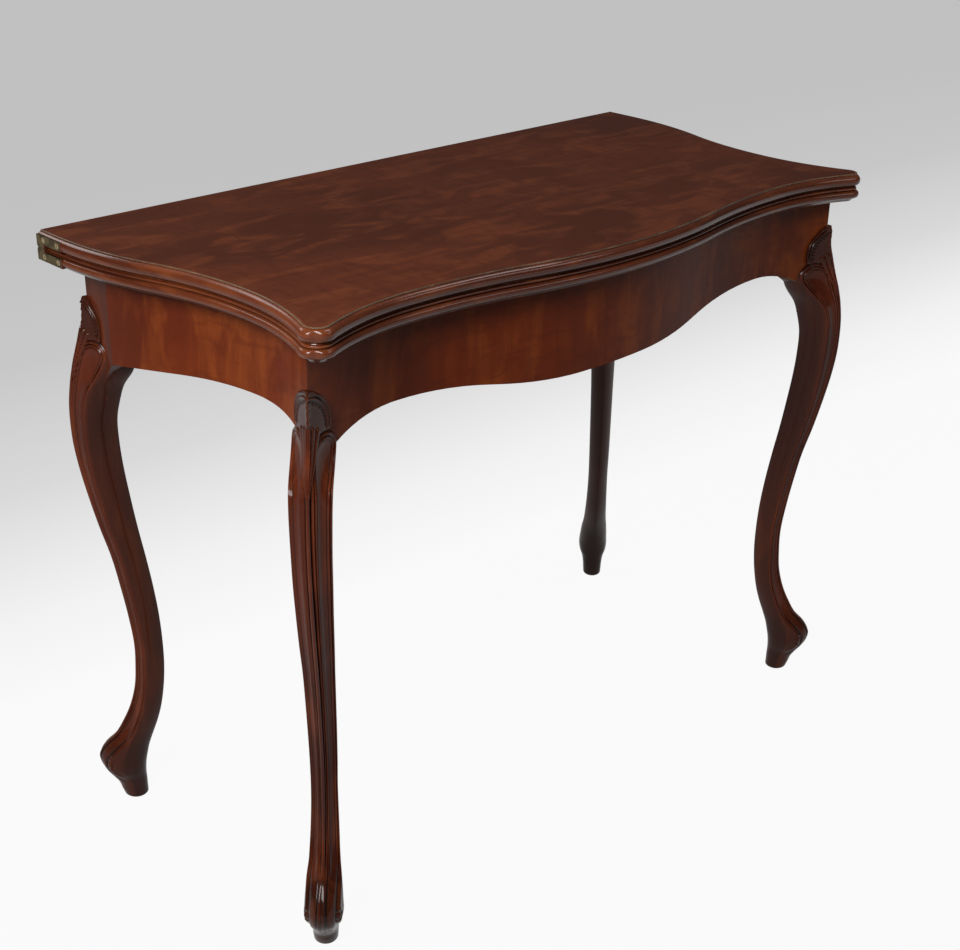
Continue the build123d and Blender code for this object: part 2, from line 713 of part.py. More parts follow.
nodes = {
    "leg_front_left": mirrored(leg_front_right),
    "leg_front_right": leg_front_right,
    "leg_back_left": mirrored(leg_back_right),
    "leg_back_right": leg_back_right,
    "front_rail": front_rail,
    "left_side_rail": mirrored(right_side_rail),
    "right_side_rail": right_side_rail,
    "back_rail": back_rail,
    "front_veneer": make_front_veneer(),
    "left_side_veneer": mirrored(make_side_veneer()),
    "right_side_veneer": make_side_veneer(),
    "pivot_bearer": pivot_bearer,
    "well_divider": well_divider,
    "well_bottom": well_bottom,
    "well_fillets": well_fillets,
    "well_lining": well_lining,
    "glue_blocks": Compound(children=make_glue_blocks()),
    "glide_pads": Compound(children=pads),
    "lower_leaf": lower_leaf,
    "lower_baize": lower_baize,
    "pivot_plate": pivot_plate,
    "pivot_plate_screws": Compound(children=plate_screws),
    "pivot_bolt": pivot_bolt,
    "pivot_washer": pivot_washer,
    "pivot_nut": pivot_nut,
    "stop_peg": stop_peg,
    "hinge_lower_plate_left": mirrored(lower_plate),
    "hinge_lower_plate_right": lower_plate,
    "hinge_lower_screws": Compound(children=lower_screws + [mirrored(s) for s in lower_screws]),
    "hinge_lower_pins": Compound(children=[lower_pin, mirrored(lower_pin)]),
    "hinge_link_left": mirrored(hinge_link),
    "hinge_link_right": hinge_link,
    "upper_leaf": upper_leaf,
    "upper_baize": upper_baize,
    "hinge_upper_plate_left": mirrored(upper_plate),
    "hinge_upper_plate_right": upper_plate,
    "hinge_upper_screws": Compound(children=upper_screws + [mirrored(s) for s in upper_screws]),
    "hinge_upper_pins": Compound(children=[upper_pin, mirrored(upper_pin)]),
}

os.makedirs("parts", exist_ok=True)
for name, shape in nodes.items():
    export_step(shape, f"parts/{name}.step")
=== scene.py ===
# %% [markdown]
# # A serpentine card table, dressed for its photograph
# The plain model of the table comes in as a fixed frame, in metres, with the origin on the
# floor and the bowed front towards -Y. This lesson gives it what a workshop adds last: run
# mouldings, carved legs, figured veneer, French polish, aged brass and baize.

# %% Load the frame
from math import acos, asin, atan2, copysign, cos, degrees, dist, exp, hypot, pi, radians, sin, sqrt, tau

import bmesh
import bpy
from mathutils import Matrix, Vector


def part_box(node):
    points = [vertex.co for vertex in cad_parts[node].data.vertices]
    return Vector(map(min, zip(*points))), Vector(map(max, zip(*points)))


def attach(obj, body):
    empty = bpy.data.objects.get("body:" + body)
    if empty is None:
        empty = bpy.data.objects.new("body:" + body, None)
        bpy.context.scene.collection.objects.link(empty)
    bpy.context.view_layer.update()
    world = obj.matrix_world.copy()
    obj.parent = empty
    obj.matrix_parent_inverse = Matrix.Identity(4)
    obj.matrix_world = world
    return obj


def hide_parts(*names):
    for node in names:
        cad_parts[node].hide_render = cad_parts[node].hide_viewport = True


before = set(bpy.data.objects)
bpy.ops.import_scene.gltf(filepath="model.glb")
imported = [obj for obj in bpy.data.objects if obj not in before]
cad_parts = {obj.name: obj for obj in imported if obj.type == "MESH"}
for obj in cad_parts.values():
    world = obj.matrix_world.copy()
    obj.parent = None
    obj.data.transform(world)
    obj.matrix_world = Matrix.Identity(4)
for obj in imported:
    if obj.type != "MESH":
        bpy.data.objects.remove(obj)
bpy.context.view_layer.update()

quarter = pi / 2

# %% [markdown]
# Every object in the scene is a named piece of data, linked into the scene. Two short helpers
# do that for the camera, the lamps and the pieces, so it is written once.

# %% Helpers for objects
def new_object(name, data):
    """Object with this data, linked into the scene."""
    made = bpy.data.objects.new(name, data)
    bpy.context.scene.collection.objects.link(made)
    return made


def mesh_object(name, bm, materials):
    """Object made of a bmesh, which is used up."""
    mesh = bpy.data.meshes.new(name)
    bm.to_mesh(mesh)
    bm.free()
    for material in materials:
        mesh.materials.append(material)
    return new_object(name, mesh)


# %% [markdown]
# ## Camera
# The camera was fitted to the corners of the top and to the feet, so it stands left of the
# table and in front of it, a little above a standing person's chest, and looks down. Its
# matrix is built from a yaw, a pitch and a small roll, which keeps the three numbers readable.

# %% Camera
camera_place = Vector((-1.2558, -1.26545, 1.2184))
camera_yaw = radians(45.57)
camera_pitch = radians(-25.245)
camera_roll = radians(1.005)


def make_camera():
    """Camera that looks along its yaw and pitch, rolled about its own axis."""
    level = cos(camera_pitch)
    ahead = Vector((level * cos(camera_yaw), level * sin(camera_yaw), sin(camera_pitch)))
    right = Vector((sin(camera_yaw), -cos(camera_yaw), 0))
    up = right.cross(ahead)
    rolled_right = right * cos(camera_roll) + up * sin(camera_roll)
    rolled_up = up * cos(camera_roll) - right * sin(camera_roll)
    data = bpy.data.cameras.new("camera")
    data.lens = 58.155
    data.sensor_width = 36
    camera = new_object("camera", data)
    axes = Matrix((rolled_right, rolled_up, -ahead)).transposed()
    camera.matrix_world = Matrix.Translation(camera_place) @ axes.to_4x4()
    bpy.context.scene.camera = camera
    return camera


camera = make_camera()
bpy.context.scene.view_settings.view_transform = "Standard"
print("camera at", camera_place, "with a lens of", camera.data.lens)

# %% [markdown]
# ## Materials
# A finish is a few noise patterns stretched along the grain, mixed into a colour, and a
# Principled shader under them. Short helpers keep each finish to the lines that matter: one
# adds a node and feeds it, one makes the coordinates, one mixes two colours.

# %% Helpers for materials
def feed(tree, node, inputs):
    """Gives each input its value, or links it to the output of another node."""
    for name, value in inputs.items():
        socket = node.inputs[name]
        if isinstance(value, bpy.types.NodeSocket):
            tree.links.new(value, socket)
        else:
            socket.default_value = (*value, 1) if socket.type == "RGBA" else value


def add_node(tree, kind, settings=None, inputs=None):
    """Adds a node, sets its own properties and feeds its inputs."""
    made = tree.nodes.new("ShaderNode" + kind)
    for name, value in (settings or {}).items():
        setattr(made, name, value)
    feed(tree, made, inputs or {})
    return made


def start_tree(owner):
    """Empty node tree of a material or of the world."""
    owner.use_nodes = True
    owner.node_tree.nodes.clear()
    return owner.node_tree


def start_material(name, kind="BsdfPrincipled", inputs=None):
    """Material with one shader on its output. The inputs are those of the shader."""
    material = bpy.data.materials.new(name)
    tree = start_tree(material)
    shader = add_node(tree, kind, inputs=inputs)
    add_node(tree, "OutputMaterial", inputs={"Surface": shader.outputs[0]})
    return material, tree, shader


def place_pattern(tree, scale, attribute=None, turn=(0, 0, 0)):
    """Coordinates for a pattern: the object's own, or an attribute of its mesh, scaled."""
    if attribute:
        source = add_node(tree, "Attribute", {"attribute_name": attribute}).outputs["Vector"]
    else:
        source = add_node(tree, "TexCoord").outputs["Object"]
    inputs = {"Vector": source, "Scale": scale, "Rotation": turn}
    return add_node(tree, "Mapping", inputs=inputs).outputs["Vector"]


def noise(tree, vector, detail, distortion=0.0):
    """Noise that takes its scale from its coordinates."""
    inputs = {"Vector": vector, "Scale": 1.0, "Detail": detail, "Distortion": distortion}
    return add_node(tree, "TexNoise", inputs=inputs).outputs["Fac"]


def ramp(tree, factor, low, high, low_value=0.0, high_value=1.0):
    """Smoothly stretches the part of a pattern between low and high."""
    inputs = {"Value": factor, "From Min": low, "From Max": high, "To Min": low_value, "To Max": high_value}
    return add_node(tree, "MapRange", {"interpolation_type": "SMOOTHSTEP"}, inputs).outputs["Result"]


def blend_colours(tree, factor, first, second):
    """Mixes two colours, each a plain colour or the output of another node."""
    inputs = {0: factor, 6: first, 7: second}
    return add_node(tree, "Mix", {"data_type": "RGBA"}, inputs).outputs[2]


def bump(tree, height, strength, distance, shader):
    inputs = {"Height": height, "Strength": strength, "Distance": distance}
    raised = add_node(tree, "Bump", inputs=inputs)
    feed(tree, shader, {"Normal": raised.outputs["Normal"]})


# %% [markdown]
# ### Polished mahogany
# Five things make mahogany look like itself. Broad clouds of colour come from the way the
# light enters a curly grain. A finer mottle lies across the grain. Streaks follow it, and so
# do short dark pores. Over all of that is a thin clear polish, which a coat on the shader
# gives. One function makes every mahogany in the table and lays these patterns over each
# other. A pattern is stretched along the grain by giving it a lower scale there than across.

# %% Mahogany
patch_scale, mottle_scale, pore_scale = (3.0, 4.0), (75.0, 22.0), (60.0, 1500.0)
streak_share, pore_share, pore_darkness = 0.35, 0.45, 0.35
# Near black laid over the wood of the legs: old wax in the cuts, and painted shade
wax_and_shade_colour = (0.006, 0.0028, 0.0018)
polish_roughness = 0.1


def mahogany(name, dark, middle, light, grain="X", attribute=None, cloud=(7.0, 18.0), cloud_share=0.7,
             mottle_share=0.25, streak=(6.0, 130.0), gloss=0.3, coat=0.3, shine=0.07, recess=None):
    """Wood whose grain runs along one axis. A scale is given along the grain and across it. Where the given
    attribute is high, the wood darkens with old wax in the cuts and with painted shade."""
    polish = {"Specular IOR Level": shine, "Coat Weight": coat, "Coat Roughness": polish_roughness}
    material, tree, shader = start_material(name, inputs=polish)

    def grained(scale):
        lengthwise, across = scale
        order = {"X": (lengthwise, across, across), "Z": (across, across, lengthwise)}[grain]
        return place_pattern(tree, order, attribute)

    clouds = noise(tree, grained(cloud), 4.0, 0.9)
    patches = noise(tree, grained(patch_scale), 2.0, 0.6)
    mottle = noise(tree, grained(mottle_scale), 3.0, 0.8)
    streaks = noise(tree, grained(streak), 4.0, 0.3)
    pores = noise(tree, grained(pore_scale), 2.0)
    pore_colour = tuple(pore_darkness * value for value in dark)
    layers = ((patches, 0.38, 0.62, 1.0, middle), (clouds, 0.44, 0.66, cloud_share, light),
              (mottle, 0.48, 0.66, mottle_share, dark), (streaks, 0.35, 0.7, streak_share, dark),
              (pores, 0.6, 0.74, pore_share, pore_colour))
    colour = dark
    for pattern, low, high, share, over in layers:
        colour = blend_colours(tree, ramp(tree, pattern, low, high, 0.0, share), colour, over)
    # Darkens the wood by the attribute: old wax in the cuts, and painted shade at the knee, the toe and the
    # heel
    if recess:
        wax_and_shade_share = add_node(tree, "Attribute", {"attribute_name": recess}).outputs["Fac"]
        colour = blend_colours(tree, wax_and_shade_share, colour, wax_and_shade_colour)
    dullness = ramp(tree, patches, 0.3, 0.7, gloss - 0.03, gloss + 0.05)
    feed(tree, shader, {"Base Color": colour, "Roughness": dullness})
    bump(tree, streaks, 0.015, 0.001, shader)
    return material


top_wood = mahogany("top_wood", (0.056, 0.0138, 0.0062), (0.082, 0.02, 0.0088), (0.128, 0.033, 0.0122),
                    cloud=(12.0, 28.0), cloud_share=0.65, mottle_share=0.4, gloss=0.38, coat=0.06)
edge_wood = mahogany("edge_wood", (0.055, 0.012, 0.0045), (0.1, 0.022, 0.007), (0.165, 0.042, 0.012),
                     attribute="grain", cloud=(12.0, 60.0), cloud_share=0.6, mottle_share=0.1, coat=0.32,
                     shine=0.12)
# Greyer, lighter wood for the small arris of the upper leaf: a painted highlight
arris_painted_highlight = mahogany("arris_painted_highlight", (0.06, 0.04, 0.024), (0.1, 0.072, 0.044), (0.15, 0.115, 0.075),
                      attribute="grain", cloud=(40.0, 60.0), gloss=0.4, coat=0.2)
# The legs take old wax and painted shade from their darkening attribute
leg_wood = mahogany("leg_wood", (0.046, 0.0085, 0.0034), (0.085, 0.016, 0.0055), (0.14, 0.03, 0.0085),
                    grain="Z", cloud=(6.0, 30.0), cloud_share=0.6, mottle_share=0.1, coat=0.15,
                    shine=0.06, recess="recess")
frieze_wood = mahogany("frieze_wood", (0.075, 0.0115, 0.003), (0.135, 0.022, 0.0048), (0.215, 0.047, 0.0085),
                       grain="Z", cloud=(9.0, 24.0), cloud_share=0.6, mottle_share=0.4,
                       streak=(5.0, 90.0), gloss=0.4, coat=0.04, shine=0.05)
back_wood = mahogany("back_wood", (0.06, 0.02, 0.01), (0.09, 0.031, 0.0145), (0.13, 0.047, 0.021),
                     cloud_share=0.4, gloss=0.5, coat=0.0)
bare_wood = mahogany("bare_wood", (0.2, 0.11, 0.055), (0.3, 0.175, 0.09), (0.38, 0.235, 0.125),
                     cloud_share=0.4, gloss=0.65, coat=0.0)
woods = [top_wood, edge_wood, arris_painted_highlight, leg_wood, frieze_wood, back_wood, bare_wood]
print("woods:", ", ".join(wood.name for wood in woods))

# %% [markdown]
# ### Brass, iron and baize
# The hinges are old brass: golden where a cloth still reaches, olive brown elsewhere. The
# pivot is dull iron. Baize is a felted wool, so it has no gloss, a fine nap and a sheen that
# shows where the eye runs along it.

# %% Brass
def aged_brass(name, dull, bright, grain_size):
    material, tree, shader = start_material(name, inputs={"Metallic": 1.0})
    tarnish = noise(tree, place_pattern(tree, (1 / grain_size,) * 3), 2.0, 0.4)
    worn = blend_colours(tree, ramp(tree, tarnish, 0.38, 0.66), dull, bright)
    dullness = ramp(tree, tarnish, 0.35, 0.65, 0.48, 0.36)
    feed(tree, shader, {"Base Color": worn, "Roughness": dullness})
    return material


brass = aged_brass("old_brass", (0.075, 0.052, 0.019), (0.164, 0.115, 0.043), 0.012)
screw_brass = aged_brass("screw_brass", (0.42, 0.32, 0.17), (0.66, 0.54, 0.34), 0.004)

# %% Iron and baize
def dull_iron():
    material, tree, shader = start_material("dull_iron", inputs={"Metallic": 0.8, "Roughness": 0.55})
    marks = noise(tree, place_pattern(tree, (140.0,) * 3), 5.0, 0.4)
    rusted = ramp(tree, marks, 0.4, 0.65)
    colour = blend_colours(tree, rusted, (0.028, 0.025, 0.023), (0.085, 0.062, 0.048))
    feed(tree, shader, {"Base Color": colour})
    bump(tree, marks, 0.25, 0.0005, shader)
    return material


def green_baize():
    felt = {"Roughness": 0.95, "Specular IOR Level": 0.2, "Sheen Weight": 0.1, "Sheen Roughness": 0.5}
    material, tree, shader = start_material("green_baize", inputs=felt)
    nap = noise(tree, place_pattern(tree, (900.0,) * 3), 4.0, 0.5)
    wear = noise(tree, place_pattern(tree, (6.0,) * 3), 3.0, 0.6)
    faded = ramp(tree, wear, 0.4, 0.7)
    worn = blend_colours(tree, faded, (0.012, 0.052, 0.02), (0.02, 0.072, 0.028))
    tufts = ramp(tree, nap, 0.45, 0.7, 0.0, 0.5)
    colour = blend_colours(tree, tufts, worn, (0.034, 0.095, 0.038))
    feed(tree, shader, {"Base Color": colour})
    bump(tree, nap, 0.5, 0.0006, shader)
    return material


iron = dull_iron()
baize = green_baize()
print("metal and cloth:", brass.name, iron.name, baize.name)

# %% [markdown]
# ### Dressing the nodes that stay
# Most inner pieces have their true shape already, so they only need a finish. A table of
# names and finishes is easier to check than forty assignments.

# %% Finishes of the plain nodes
finishes = {
    frieze_wood: ["front_veneer", "left_side_veneer", "right_side_veneer"],
    back_wood: ["back_rail"],
    bare_wood: ["front_rail", "left_side_rail", "right_side_rail", "pivot_bearer", "well_divider",
                "well_bottom", "well_fillets", "stop_peg"],
    baize: ["well_lining", "upper_baize", "lower_baize", "glide_pads"],
    iron: ["pivot_plate", "pivot_plate_screws", "pivot_bolt", "pivot_washer", "pivot_nut"],
    brass: ["hinge_lower_plate_left", "hinge_lower_plate_right", "hinge_lower_pins", "hinge_link_left",
            "hinge_link_right", "hinge_upper_plate_left", "hinge_upper_plate_right", "hinge_upper_pins"],
    screw_brass: ["hinge_lower_screws", "hinge_upper_screws"],
}
for finish, names in finishes.items():
    for name in names:
        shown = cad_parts[name].data
        shown.materials.clear()
        shown.materials.append(finish)
print("dressed", sum(len(names) for names in finishes.values()), "plain nodes")

# %% [markdown]
# ## Leaves
# Both leaves have one plan: a bowed front, hollowed ends and small round front corners. A
# joiner draws it with a compass, arc after arc, each leaving where the last one ended and in
# the same direction. Spinning a vertex about the centre of each arc does the same, and gives
# a chain of edges that later becomes the moulding.

# %% Sizes of the leaves, in metres
upper_low, upper_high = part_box("upper_leaf")
lower_low, lower_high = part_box("lower_leaf")
back_y = upper_high.y
half_back = 0.462
top_depth = 0.452
side_shoulder_depth = 0.04
corner_radius = 0.014


def plan_point(inset, depth):
    """Point of the plan, this far in from the right end and this far from the back edge."""
    return Vector((half_back - inset, back_y - depth, 0))


side_hollow = plan_point(0.0455, 0.315)
front_hollow = plan_point(0.157, 0.4185)
corner_centre = plan_point(0.037, 0.43)
moulding_out = upper_high.x - half_back
print("moulding stands out", round(moulding_out * 1000, 1), "mm")

# %% Spin a point along an arc
chord_step = 0.005


def of_kind(kind, made):
    """The vertices, edges or faces among the things that an operator made."""
    return [item for item in made if isinstance(item, kind)]


def spin_to(bm, point, heading, target, step=chord_step):
    """Spins a vertex along the arc that leaves in this heading and passes through the target."""
    chord = target - point.co
    turn = 2 * atan2(heading.x * chord.y - heading.y * chord.x, heading.dot(chord))
    left = Vector((-heading.y, heading.x, 0))
    radius = chord.length_squared / (2 * chord.dot(left))
    steps = max(3, round(abs(turn * radius) / step))
    made = bmesh.ops.spin(bm, geom=[point], cent=point.co + left * radius, axis=(0, 0, 1),
                          dvec=(0, 0, 0), angle=turn, steps=steps, use_duplicate=False)
    last = of_kind(bmesh.types.BMVert, made["geom_last"])[0]
    return last, Matrix.Rotation(turn, 3, "Z") @ heading


def spin_ogee(bm, point, heading, target):
    """Two equal arcs that end in the heading they began with."""
    middle = (point.co + target) / 2
    point, turned = spin_to(bm, point, heading, middle)
    return spin_to(bm, point, turned, target)


def arc_meets_round(hollow, centre, radius, heading):
    """Where the arc that leaves a hollow in this heading meets the round of a corner."""
    out = Vector((-heading.y, heading.x, 0))
    offset = centre - hollow
    across = abs(offset.dot(out))
    along = abs(offset.dot(heading))
    arc_radius = (along**2 + across**2 - radius**2) / (2 * (radius + across))
    side = 1 if offset.dot(out) < 0 else -1
    arc_centre = hollow - out * side * arc_radius
    return centre + (arc_centre - centre).normalized() * radius


# %% Chain of the right half of the plan
def half_plan(bm):
    """Right half of a leaf's plan, from the middle of the bow to the back edge."""
    right, forward = Vector((1, 0, 0)), Vector((0, -1, 0))
    front_touch = arc_meets_round(front_hollow, corner_centre, corner_radius, right)
    side_touch = arc_meets_round(side_hollow, corner_centre, corner_radius, forward)
    point = bm.verts.new((0, back_y - top_depth, 0))
    point, heading = spin_ogee(bm, point, right, front_hollow)
    point, heading = spin_to(bm, point, heading, front_touch)
    point, heading = spin_to(bm, point, heading, side_touch, chord_step / 6)
    point, heading = spin_to(bm, point, heading, side_hollow)
    point, heading = spin_ogee(bm, point, heading, plan_point(0, side_shoulder_depth))
    bm.verts.new(plan_point(0, 0))
    bm.verts.ensure_lookup_table()
    bm.edges.new(bm.verts[-2:])
    return list(bm.verts)


def plan_points():
    """Places of the points of the half plan."""
    trial = bmesh.new()
    points = [point.co.copy() for point in half_plan(trial)]
    trial.free()
    return points


print("points in half a plan:", len(plan_points()), "ending at", plan_points()[-2])

# %% [markdown]
# ### The moulding
# A joiner runs the edge with a moulding plane, and the same profile follows the whole plan.
# Here the chain is extruded once for each point of the profile, and each new row of vertices
# is moved out along the plan and set at its height. The profile itself is a flat, a small
# ledge, a fat thumb made of two arcs, and what lies between the thumb and the joint.

# %% Profiles of the two edges
def thumb(top, bottom, flat=0.0004, points=9):
    """Fat round between two heights, as (out, height) pairs from the top down."""
    radius = (top - bottom - flat) / 2
    centre = moulding_out - radius
    open_angle = acos(-centre / radius)
    turns = [open_angle * (1 - step / (points - 1)) for step in range(points)]
    upper = [(centre + radius * cos(turn), top - radius + radius * sin(turn)) for turn in turns]
    lower = [(out, top + bottom - height) for out, height in reversed(upper)]
    return upper + lower


arris = 0.0008
quirk = 0.0009
border = 0.003
upper_top, upper_joint = upper_high.z, upper_low.z
lower_joint, lower_base = lower_high.z, lower_low.z
upper_thumb_head, upper_thumb_foot = 0.0018, 0.0153
lower_thumb_head, lower_thumb_foot = 0.0036, 0.0128
upper_thumb = thumb(upper_top - upper_thumb_head, upper_top - upper_thumb_foot)
lower_thumb = thumb(lower_joint - lower_thumb_head, lower_joint - lower_thumb_foot)
bead_radius = 0.0014
chamfer = 0.0045


def small_bead(top, points=7):
    """Half round bead that starts at this height, as (out, height) pairs from the top down."""
    turns = [quarter - pi * step / (points - 1) for step in range(points)]
    return [(bead_radius * cos(turn), top - bead_radius * (1 - sin(turn))) for turn in turns]


upper_profile = [(-border, upper_top), (-arris, upper_top), (-arris / 3, upper_top - arris / 3),
                 (0, upper_top - arris), (0, upper_thumb[0][1] + quirk / 2),
                 (-quirk, upper_thumb[0][1] + quirk / 4), *upper_thumb,
                 (-quirk, upper_thumb[-1][1] - quirk / 4), (-quirk / 4, upper_joint + arris),
                 (-arris, upper_joint), (-border, upper_joint)]
lower_profile = [(-border, lower_joint), *small_bead(lower_joint), (-quirk, lower_thumb[0][1] + quirk / 4),
                 *lower_thumb, (-quirk / 2, lower_thumb[-1][1] - quirk / 2), (-chamfer, lower_base),
                 (-chamfer - border, lower_base)]
print("profile points:", len(upper_profile), "and", len(lower_profile))

# %% Run the profile along the plan
hinge_zone = 0.05
plate_clearance = 0.0002
behind_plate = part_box("hinge_upper_plate_right")[0].x - plate_clearance
mitre_depth = 0.0032
mitre_width = 0.0046


def everything(bm):
    return bm.verts[:] + bm.edges[:] + bm.faces[:]


def extrude(bm, edges):
    """Extrudes a chain of edges. Returns the points and the edges of the new chain."""
    made = bmesh.ops.extrude_edge_only(bm, edges=edges)["geom"]
    points = set(of_kind(bmesh.types.BMVert, made))
    return points, [edge for edge in of_kind(bmesh.types.BMEdge, made) if points.issuperset(edge.verts)]


def run_moulding(bm, profile):
    """Extrudes the half plan through a profile, then mirrors it. Rows are numbered from the top down."""
    row_of = bm.verts.layers.int.new("row")
    place_of = bm.verts.layers.int.new("place")
    grain_of = bm.verts.layers.float_vector.new("grain")
    chain = half_plan(bm)
    plan = [point.co.copy() for point in chain]
    along = [0.0]
    for before, after in zip(plan, plan[1:]):
        along.append(along[-1] + (after - before).length)
    outward = plan_normals(plan)
    for place, point in enumerate(chain):
        point[place_of] = place
    edges = bm.edges[:]
    across = 0.0
    for row, (out, height) in enumerate(profile):
        if row:
            chain, edges = extrude(bm, edges)
            across += dist(profile[row - 1], profile[row])
        for point in chain:
            place = point[place_of]
            point[row_of] = row
            point.co = plan[place] + outward[place] * (out - mitre_cut(plan[place], out))
            point.co.z = height
            point[grain_of] = (along[place], across, 0)
    bmesh.ops.mirror(bm, geom=everything(bm), axis="X", merge_dist=1e-6)
    return row_of, len(profile) - 1


def plan_normals(plan):
    """Outward direction at each point of the half plan."""
    normals = []
    for place, point in enumerate(plan):
        before = plan[max(place - 1, 0)]
        after = plan[min(place + 1, len(plan) - 1)]
        tangent = (after - before).normalized()
        normals.append(Vector((tangent.y, -tangent.x, 0)))
    normals[0] = Vector((0, -1, 0))
    normals[-1] = Vector((1, 0, 0))
    return normals


def mitre_cut(point, out):
    """Depth of the groove where the two mouldings meet at a front corner."""
    bisector = Vector((1, -1, 0)).normalized()
    away = point - corner_centre
    if out <= 0 or away.length > 1.05 * corner_radius:
        return 0.0
    aside = corner_radius * away.angle(bisector)
    return mitre_depth * exp(-((aside / mitre_width) ** 2)) * min(1, out / moulding_out)


# %% [markdown]
# ### Faces of a leaf
# The top is one flat face. The playing side has a border of polished wood and a shallow
# recess, in which the baize lies level with the border. The recess follows the edge at a
# constant distance, so its outline is the plan moved inwards, without the points that would
# come too near another part of the edge. At the hinges the moulding is planed flat, and small
# square lands carry the ends of the brass plates.

# %% Baize recess and back edge
baize_border = 0.038
baize_back = 0.006
recess_depth = 0.001


def baize_outline():
    """Plan of the sunk bed for the baize: the edge moved in by the border, then straight to the back."""
    plan = plan_points()
    kept = []
    for point, normal in zip(plan, plan_normals(plan)):
        moved = point - normal * baize_border
        clear = min((moved - other).length for other in plan)
        if clear > baize_border - 0.0001 and moved.y < back_y - side_shoulder_depth:
            kept.append(moved)
    kept.append(plan_point(baize_border, baize_back))
    return kept + [Vector((-point.x, point.y, 0)) for point in reversed(kept) if point.x > 1e-6]


def sink(bm, loop_points, height, depth, away_from):
    """Recess with a flat floor. Returns the edges of its rim."""
    rim = [bm.verts.new((point.x, point.y, height)) for point in loop_points]
    rim_edges = [bm.edges.new((first, second)) for first, second in zip(rim, rim[1:] + rim[:1])]
    floor, floor_edges = extrude(bm, rim_edges)
    for point in floor:
        point.co.z = height + away_from * depth
    bmesh.ops.edgeloop_fill(bm, edges=floor_edges)
    return rim_edges


def add_block(bm, low, high):
    """Square-edged block between two corners."""
    made = bmesh.ops.create_cube(bm, size=1)["verts"]
    middle, size = (low + high) / 2, high - low
    bmesh.ops.scale(bm, vec=size, verts=made)
    bmesh.ops.translate(bm, vec=middle, verts=made)


# %% Build one leaf
roll_radius = 0.003
tab_length = 0.013
tab_height = 0.014
strip_height = 0.01
land = 0.002
arris_flats = 6
hair, same = 0.0001, 1e-6  # a hair's breadth, and what counts as the same place


def cut(bm, place, direction, clear=False):
    """Cuts the mesh along a plane, and clears what lies beyond it if asked."""
    return bmesh.ops.bisect_plane(bm, geom=everything(bm), dist=1e-7, plane_co=place, plane_no=direction,
                                  clear_outer=clear)["geom_cut"]


def close_up(bm):
    """Fills what is still open and points all faces outwards."""
    bmesh.ops.holes_fill(bm, edges=[edge for edge in bm.edges if edge.is_boundary], sides=0)
    bmesh.ops.recalc_face_normals(bm, faces=bm.faces[:])


def plane_round_arris(bm, joint, up):
    """Planes the back arris at the joint to a quarter round, flat after flat."""
    centre = Vector((0, back_y - roll_radius, joint + up * roll_radius))
    for step in range(1, arris_flats):
        turn = step * quarter / arris_flats
        normal = Vector((0, cos(turn), -up * sin(turn)))
        made = cut(bm, centre + normal * roll_radius, normal, True)
        edges = [edge for edge in of_kind(bmesh.types.BMEdge, made) if edge.is_boundary]
        bmesh.ops.holes_fill(bm, edges=edges, sides=0)


def plane_hinge_zone(bm, joint, up):
    """Planes the moulding flat where the ends of the brass plates lie on it."""
    for depth in (hinge_zone, hinge_zone - hair):
        cut(bm, (0, back_y - depth, 0), (0, 1, 0))
    flat_low, flat_high = sorted((joint - up * hair, joint + up * tab_height))
    for point in bm.verts:
        if point.co.y > back_y - hinge_zone + hair / 2 and flat_low < point.co.z < flat_high:
            point.co.x = copysign(min(abs(point.co.x), behind_plate), point.co.x)


def open_rim(bm, out, level):
    """Closes a row of the moulding along the back edge, and returns its edges."""
    ends = [point for point in bm.verts if point.is_boundary and abs(point.co.z - level) < same
            and abs(point.co.y - back_y) < same and abs(abs(point.co.x) - half_back - out) < hair]
    bm.edges.new(ends)
    return [edge for edge in bm.edges if (edge.is_boundary or edge.is_wire)
            and all(abs(end.co.z - level) < same for end in edge.verts)]


def make_leaf_mesh(profile, joint, up, holes):
    """Closed mesh of a leaf, which lies above its joint where up is 1. The holes are given by row."""
    bm = bmesh.new()
    row_of, last_row = run_moulding(bm, profile)
    plane_hinge_zone(bm, joint, up)
    for face in bm.faces:
        rows = [point[row_of] for point in face.verts]
        # Rows 1 to 3 of the upper edge take the painted highlight of the arris
        face.material_index = 2 if up > 0 and min(rows) >= 1 and max(rows) <= 3 else 1
    rims = {row: open_rim(bm, *profile[row]) for row in (0, last_row)}
    for row, rim in rims.items():
        for outline, depth, sign in holes.get(row, []):
            rim += sink(bm, outline, profile[row][1], depth, sign)
        made = bmesh.ops.triangle_fill(bm, edges=rim, use_beauty=True, use_dissolve=False)["geom"]
        for face in of_kind(bmesh.types.BMFace, made):
            face.material_index = 0
    close_up(bm)
    plane_round_arris(bm, joint, up)
    return bm


# %% [markdown]
# ### Finishing a piece
# Every new piece needs the same last steps: a mesh from its bmesh, its materials, smooth
# shading with the real corners kept sharp, the body that it rides on, and the plain node that
# it stands for, which is hidden.

# %% Finish a piece
def finish_piece(name, bm, body, nodes, materials, sharp_angle=35):
    limit = radians(sharp_angle)
    for face in bm.faces:
        face.smooth = len(face.verts) < 9 and face.calc_area() < 0.0008
    for edge in bm.edges:
        edge.smooth = len(edge.link_faces) == 2 and edge.calc_face_angle(0) < limit
    piece = mesh_object(name, bm, materials)
    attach(piece, body)
    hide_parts(*nodes)
    print(name, "has", len(piece.data.polygons), "faces")


# %% Both leaves
land_seat = 0.0005
pivot_sides = 64


def add_hinge_lands(bm, joint, up):
    """Square lands at the ends of the brass plates, on both ends of a leaf."""
    step = tab_height - strip_height
    lands = ((tab_length, tab_length + land, 0, step), (hinge_zone - land, hinge_zone, step, tab_height))
    for side in (-1, 1):
        x0, x1 = sorted((side * (behind_plate - land_seat), side * (half_back + moulding_out)))
        for near, far, start, end in lands:
            z0, z1 = sorted((joint + up * start, joint + up * end))
            add_block(bm, Vector((x0, back_y - far, z0)), Vector((x1, back_y - near, z1)))


